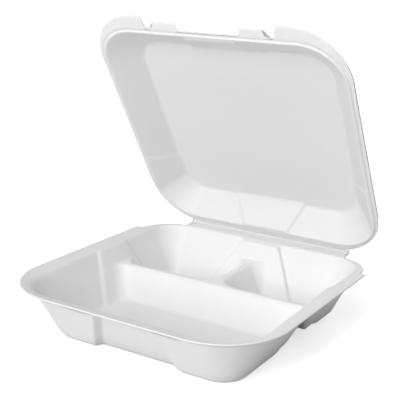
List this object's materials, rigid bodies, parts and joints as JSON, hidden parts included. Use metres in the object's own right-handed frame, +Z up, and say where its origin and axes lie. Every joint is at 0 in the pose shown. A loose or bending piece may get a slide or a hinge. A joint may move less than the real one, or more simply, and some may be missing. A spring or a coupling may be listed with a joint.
{
  "type": "foam takeaway container",
  "caption": "Hinged foam takeaway box: a compartmented tray and a domed lid moulded in one sheet, joined by a creased hinge, with snap tabs that go into slots in the tray's front wall.",
  "frame": {"origin": "on the surface that the tray stands on, below the middle of its rim", "axes": "+X along the hinge line, +Y towards the hinge at the back, +Z up"},
  "size_m": [0.235, 0.2526, 0.2532],
  "materials": {
    "foam": "fine-skinned white expanded polystyrene foam, matt to satin"
  },
  "bodies": {
    "base": {"base_tray": "foam"},
    "lid": {"lid": "foam"}
  },
  "joints": [
    {"name": "lid_hinge", "type": "hinge", "parent": "base", "child": "lid", "pos_m": [0, 0.12, 0.04665], "axis": [1, 0, 0], "range_deg": [-121.7, 58.3]}
  ]
}
